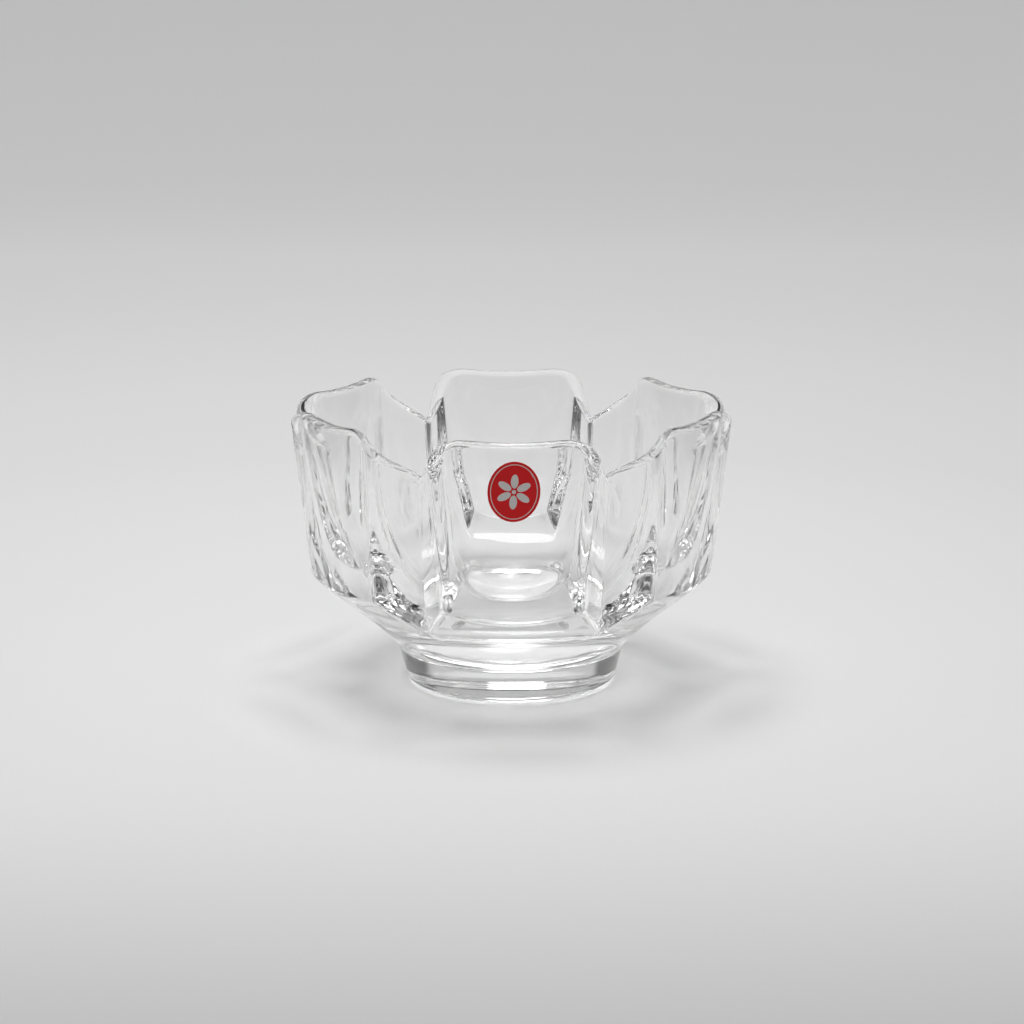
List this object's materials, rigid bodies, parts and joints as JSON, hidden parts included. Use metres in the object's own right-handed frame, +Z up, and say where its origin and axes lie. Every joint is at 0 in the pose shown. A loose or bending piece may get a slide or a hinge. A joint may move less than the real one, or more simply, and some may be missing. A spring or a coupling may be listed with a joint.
{
  "type": "crystal bowl",
  "caption": "Clear crystal bowl with flat-fronted lobes, V-grooves between them that end in rim notches, a round glass foot and a small plain label.",
  "frame": {"origin": "centre of the foot's flat underside, on the surface that the bowl stands on", "axes": "+Z up along the bowl's axis, the labelled front panel faces -Y, and a groove lies on +X and on -X"},
  "size_m": [0.1436, 0.1359, 0.093],
  "materials": {
    "crystal": "polished",
    "label_foil": "satin"
  },
  "bodies": {
    "root": {"vessel": "crystal", "foot": "crystal", "label": "label_foil"}
  },
  "joints": []
}
